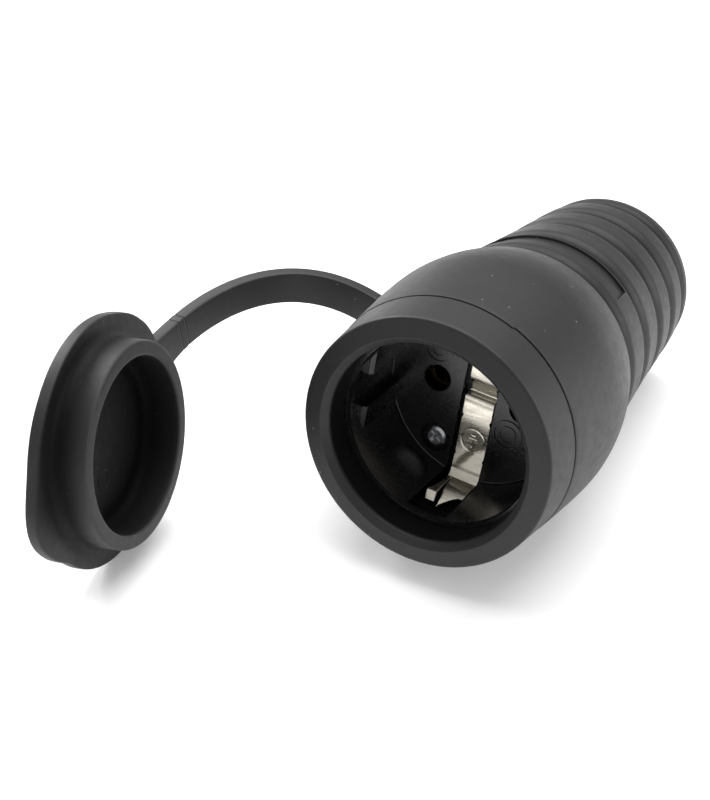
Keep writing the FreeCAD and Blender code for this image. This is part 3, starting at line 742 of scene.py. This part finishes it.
LOW = [(-18.0, 26.24), (-16.0, 26.38), (-13.0, 26.44), (-10.0, 26.36), (-7.5, 26.16), (-5.0, 26.00), (-3.6, 25.94)]
TOP = [(-0.4, 27.52), (0.1, 27.40), (0.6, 27.26), (1.0, 27.12), (1.35, 26.90), (1.7, 26.62), (2.05, 26.45),
       (2.6, 26.37), (3.6, 26.35), (5.0, 26.35), (6.0, 26.35), (7.0, 26.35), (8.0, 26.35), (9.0, 26.35),
       (10.5, 26.36), (12.5, 26.40), (15.0, 26.40), (18.0, 26.24)]
BLADE_L = [(24.8, -2.1), (24.0, -2.1), (22.5, -2.05), (20.45, -1.8), (17.85, -1.05), (13.45, -0.07)]
BLADE_R = [(24.8, 3.25), (18.78, 3.25), (18.75, 2.3), (16.95, 1.39), (13.45, -0.05)]
TONGUE_R = [(24.8, -2.3), (24.0, -2.3), (22.4, -2.25), (20.0, -2.05), (18.2, -1.75), (16.6, -1.4), (15.4, -1.15), (13.0, -1.1)]
TONGUE = [(-20.7, 24.8), (-20.7, 24.0), (-20.67, 23.2), (-20.52, 22.0), (-20.2, 20.2), (-19.75, 18.4), (-19.25, 16.9),
          (-18.9, 16.05), (-18.68, 15.5), (-18.72, 15.05), (-19.0, 14.78), (-19.5, 14.62), (-20.2, 14.48),
          (-20.9, 14.38)]


def resample(pts, step):
    q = [np.array(p) for p in spline_pts(pts, 12)]
    out = [q[0]]
    acc = 0.0
    for a_, b_ in zip(q, q[1:]):
        acc += float(np.linalg.norm(b_ - a_))
        if acc >= step:
            out.append(b_)
            acc = 0.0
    if np.linalg.norm(out[-1] - q[-1]) > 1e-6:
        out.append(q[-1])
    return np.array(out)


def table(rows, y):
    r = sorted(rows)
    return float(np.interp(y, [a for a, b in r], [b for a, b in r]))


def sheet_rings(path, xl, xr, ends, nf, relief=None):
    """Rings of points around a bent sheet; path is its front surface as (z, y)."""
    d = np.gradient(path, axis=0)
    d /= np.linalg.norm(d, axis=1)[:, None]
    nrm = np.stack([-d[:, 1], d[:, 0]], 1)      # towards the back, as (z, y)
    if ends[0] is not None:
        nrm[0] = ends[0]
    if ends[1] is not None:
        nrm[-1] = ends[1]
    rings = []
    e = 0.09
    for i, (zz, yy) in enumerate(path):
        a_, b_ = xl(zz, yy), xr(zz, yy)
        if b_ - a_ < 2.4 * e:
            m = 0.5 * (a_ + b_)
            a_, b_ = m - 1.2 * e, m + 1.2 * e
        xs = list(np.linspace(a_ + e, b_ - e, nf))
        sec = [(x, 0.0 if relief is None else relief(x, zz, yy)) for x in xs]
        sec += [(b_ - 0.026, 0.026), (b_, e), (b_, SHEET - e), (b_ - 0.026, SHEET - 0.026)]
        sec += [(x, SHEET) for x in np.linspace(b_ - e, a_ + e, 10)]
        sec += [(a_ + 0.026, SHEET - 0.026), (a_, SHEET - e), (a_, e), (a_ + 0.026, 0.026)]
        rings.append([(x, yy + nrm[i, 1] * k, zz + nrm[i, 0] * k) for x, k in sec])
    return np.array(rings)


def sheet_faces(rings, base):
    n, m = rings.shape[:2]
    f = []
    for i in range(n - 1):
        for k in range(m):
            l = (k + 1) % m
            f.append((base + i * m + k, base + (i + 1) * m + k, base + (i + 1) * m + l, base + i * m + l))
    f.append(tuple(base + k for k in range(m)))
    f.append(tuple(base + (n - 1) * m + k for k in range(m))[::-1])
    return f


def stamped(x, z, y):
    """Depth of the stamped ring with its three bars and stem, in mm."""
    u, v = x - 0.10, -(z + 11.4)
    r = math.hypot(u, v)
    if r > 3.2 or y < 25:
        return 0.0

    def groove(dist, half, depth):
        q = abs(dist) / half
        return depth * (0.5 + 0.5 * math.cos(math.pi * q)) if q < 1 else 0.0
    g = groove(r - 2.58, 0.24, 0.13)
    g = max(g, groove(math.hypot(max(abs(u) - 1.40, 0), v - 0.20), 0.20, 0.18))
    g = max(g, groove(math.hypot(max(abs(u) - 0.90, 0), v + 0.50), 0.20, 0.17))
    g = max(g, groove(math.hypot(max(abs(u) - 0.42, 0), v + 1.20), 0.20, 0.17))
    g = max(g, groove(math.hypot(u, max(abs(v - 1.0) - 0.7, 0)), 0.20, 0.18))
    # the metal inside the ring is pressed in a little
    g = max(g, 0.03 * min(1.0, max(0.0, (2.5 - r) / 0.3)))
    return g


def sprung_look(ob, local):
    """Tilts the strip's normals, not its surface; the angles are tuned to the reflections seen."""
    me = ob.data
    n = len(me.vertices)
    base = np.zeros(n * 3)
    me.vertex_normals.foreach_get("vector", base)
    base = base.reshape(-1, 3)
    full = REST @ INS
    k = base @ full                       # normals in the insert's frame
    x, y, z = local[:, 0], local[:, 1], local[:, 2]
    want = np.interp(z, [-20.6, -19.2, -18.9, -18.4, -18.0, -17.4, -15.5, -13.6, -12.3, -10.5, -9.4, -8.4, -7.2, -6.0, -4.8, -3.8, -3.3, -2.8, -2.4, -2.1],
                     [30, 26, 10, 14, 22, 25, 25, 17, 2, -2.5, -2.5, -1, 2, 5, 6.5, 5, 2, -3.5, -3, 2])
    # a shallow crease running across towards the lower left corner
    d = ((x - 0.6) * 4.7 - (z + 13.6) * 2.9) / math.hypot(4.7, 2.9)
    want = want - 26.0 * np.exp(-(d / 0.85) ** 2) * np.clip((z + 19.0) / 2, 0, 1) * np.clip((-11.5 - z) / 1.5, 0, 1)
    want = want - 10.0 * np.clip((-d - 0.5) / 1.5, 0, 1) * np.clip((-12.0 - z) / 1.5, 0, 1) * np.clip((z + 18.5) / 2, 0, 1)
    sel = (k[:, 1] < -0.35) & (y > 24.9) & (z < -1.9)
    have = np.degrees(np.arctan2(k[:, 2], -k[:, 1]))
    lz, ly = np.array([q[0] for q in LOW]), np.array([q[1] for q in LOW])
    flat = np.degrees(np.arctan(np.interp(z, 0.5 * (lz[1:] + lz[:-1]), np.diff(ly) / np.diff(lz))))
    ease = np.clip((-z - 1.95) / 0.35, 0, 1)
    add = np.where(sel & (z > -19.15), (want - flat) * ease, 0)
    add = np.where(sel & (z <= -19.15), np.minimum(29.0 - have, 25.0), add)
    # the arm's lip, and its blade, which bulges towards the middle
    lip = (k[:, 1] < -0.3) & (y < 15.7) & (z < -18.4)
    add = np.where(lip, np.maximum(29.0 - np.maximum(have, 0), 0), add)
    bulge = np.interp(y, [13.5, 16.0, 18.0, 20.0, 21.5, 22.4, 24.8], [42, 46, 46, 40, 22, 0, -12])
    add = np.where((k[:, 2] > 0.8) & (y < 24.85) & (z < -20.4) & (x > -2.4), -bulge, add)
    a_ = np.radians(add)
    ky = k[:, 1] * np.cos(a_) + k[:, 2] * np.sin(a_)
    kz = -k[:, 1] * np.sin(a_) + k[:, 2] * np.cos(a_)
    new_n = np.stack([k[:, 0], ky, kz], 1) @ full.T
    new_n /= np.linalg.norm(new_n, axis=1)[:, None]
    me.normals_split_custom_set_from_vertices([tuple(v) for v in new_n])


def make_strip():
    k = ARM_IN - BEND_R
    pts = arc_zy((-k, ROOT_Y), BEND_R, 180, 90) + LOW + arc_zy((-2.2, 26.83), 0.9, -90, 0) \
        + arc_zy((-0.85, 27.15), 0.45, 180, 90) + TOP + arc_zy((k, ROOT_Y), BEND_R, 90, 0)
    path = resample(pts, 0.07)
    path = np.array([q for i, q in enumerate(path) if -14.5 < q[0] < -8.3 or i % 2 == 0 or i == len(path) - 1])

    def half(zz, yy):
        h = 3.25
        if yy > 26.5 and -0.95 < zz < 1.35:
            h = 2.8
        for zn in (-6.4, -15.6):
            q = abs(zz - zn)
            if q < 0.30 and yy > 25:
                h -= 0.25 * min(1.0, (0.30 - q) / 0.08)
        return h
    r0 = sheet_rings(path, lambda z, y: -half(z, y), half, (np.array([-1, 0]), np.array([1, 0])), 84, stamped)
    bp = np.array([(-ARM_IN, y) for y in list(np.arange(24.8, 13.6, -0.15)) + [13.5]])
    # soft dent across the blade so that it is not a perfect mirror
    bp[:, 0] += 0.05 * np.sin((24.8 - bp[:, 1]) * 0.9) * np.clip((24.8 - bp[:, 1]) / 2, 0, 1)
    bp = bp[::-1]
    r1 = sheet_rings(bp, lambda z, y: table(BLADE_L, y), lambda z, y: table(BLADE_R, y),
                     (np.array([-1, 0]), np.array([-1, 0])), 14)
    r2 = sheet_rings(resample(TONGUE[::-1], 0.12), lambda z, y: -3.25, lambda z, y: table(TONGUE_R, y),
                     (None, np.array([-1, 0])), 10)
    verts, faces = [], []
    for rg in (r0, r1, r2, r1 * np.array([-1, 1, -1]), r2 * np.array([-1, 1, -1])):
        faces += sheet_faces(rg, len(verts))
        verts += list(rg.reshape(-1, 3))
    ob = mesh_obj("earth_strip", to_row(ins(np.array(verts))), faces, NICKEL, "housing", 40.0)
    sprung_look(ob, np.array(verts))
    return ob


EARTH = make_strip()
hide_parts("earth_bracket")


# ------------------------------------------------------ carried-over CAD nodes
def finish_node(name, mat, bevel=None, angle=30.0):
    ob = NODES[name]
    for sl in ob.material_slots:
        sl.material = mat
    if not ob.material_slots:
        ob.data.materials.append(mat)
    if bevel:
        w = ob.modifiers.new("weld", "WELD")
        w.merge_threshold = 2e-6
        b = ob.modifiers.new("bevel", "BEVEL")
        b.width = bevel
        b.segments = 2
        b.limit_method = "ANGLE"
        b.angle_limit = math.radians(angle)
        b.harden_normals = False
    return ob


finish_node("contact_insert", BLACK)
finish_node("terminal_carrier", GREY)
finish_node("cord_clamp_bridge", GREY)
for n in ("contact_sleeve_left", "contact_sleeve_right"):
    finish_node(n, BRASS_DARK)
finish_node("earth_terminal", BRASS)
for n in ("sleeve_spring_left", "sleeve_spring_right"):
    finish_node(n, SPRING)
for n in ("terminal_screw_left", "terminal_screw_right", "earth_terminal_screw", "insert_screw_lower",
          "insert_screw_upper", "insert_nut_lower", "insert_nut_upper", "clamp_screw_left", "clamp_screw_right"):
    finish_node(n, STEEL)


# --------------------------------------------------------------------- stage
def plane(name, z, size, mat):
    me = bpy.data.meshes.new(name)
    s = size
    me.from_pydata([(-s, -s, z), (s, -s, z), (s, s, z), (-s, s, z)], [], [(0, 1, 2, 3)])
    ob = bpy.data.objects.new(name, me)
    bpy.context.collection.objects.link(ob)
    me.materials.append(mat)
    return ob


fm, fnt, fbs = nodes_of("floor")
fv = coords(fnt)
fnt.links.new(ramp(fnt, noise(fnt, fv, 8.0, 2.0), [(0.3, (0.86, 0.86, 0.86)), (0.7, (0.88, 0.88, 0.88))]),
              fbs.inputs["Base Color"])
fbs.inputs["Roughness"].default_value = 0.85
fbs.inputs["Specular IOR Level"].default_value = 0.15
fbs.inputs["Emission Color"].default_value = (1.0, 1.0, 1.0, 1.0)
fbs.inputs["Emission Strength"].default_value = 0.16
plane("floor", -0.0002, 12.0, fm)

world = bpy.data.worlds.new("studio")
bpy.context.scene.world = world
world.use_nodes = True
bg = world.node_tree.nodes["Background"]
bg.inputs["Color"].default_value = (1.0, 1.0, 1.0, 1.0)
bg.inputs["Strength"].default_value = 0.55


def light(name, pos, target, size, power, size_y=None):
    ld = bpy.data.lights.new(name, "AREA")
    ld.energy = power
    ld.size = size
    if size_y:
        ld.shape = "RECTANGLE"
        ld.size_y = size_y
    ob = bpy.data.objects.new(name, ld)
    bpy.context.collection.objects.link(ob)
    ob.location = pos
    d = Vector(target) - Vector(pos)
    ob.rotation_euler = d.to_track_quat("-Z", "Y").to_euler()
    return ob


light("top_box", (-0.05, 0.25, 1.0), (0, 0, 0.03), 1.1, 13.8)
light("left_box", (-0.9, 0.35, 0.55), (0, 0, 0.03), 0.5, 9.2)
light("right_box", (0.95, 0.35, 0.40), (0, 0, 0.03), 0.5, 4.6)

# -------------------------------------------------------------------- camera
# Fitted to the photograph's perspective: position and axes in the working frame.
T = np.array([13.130, 8.560, 378.679])
XC = np.array([0.88152, 0.26456, -0.39105])
YC = np.array([0.46831, -0.38464, 0.79545])
ZC = np.array([0.06003, -0.88434, -0.46296])
c7, s7 = math.cos(math.radians(7)), math.sin(math.radians(7))
XK, YK, ZK = XC * c7 + ZC * s7, YC, ZC * c7 - XC * s7
eye = np.array([-T @ XK, -T @ YK, -T @ ZK])
right = REST @ np.array([XK[0], YK[0], ZK[0]])
down = REST @ np.array([XK[1], YK[1], ZK[1]])
fwd = REST @ np.array([XK[2], YK[2], ZK[2]])
u, s_, vt = np.linalg.svd(np.stack([right, -down, -fwd], 1))
m3 = u @ vt
cam_data = bpy.data.cameras.new("camera")
cam_data.sensor_fit = "AUTO"
cam_data.sensor_width = 36.0
cam_data.lens = 2000.0 / 800.0 * 36.0
cam_data.clip_start = 0.01
cam_data.clip_end = 50.0
cam = bpy.data.objects.new("camera", cam_data)
bpy.context.collection.objects.link(cam)
mw = Matrix.Identity(4)
for i in range(3):
    for j in range(3):
        mw[i][j] = m3[i, j]
mw.translation = Vector(tuple(to_row(eye)))
cam.matrix_world = mw
bpy.context.scene.camera = cam
bpy.context.scene.view_settings.view_transform = "Standard"
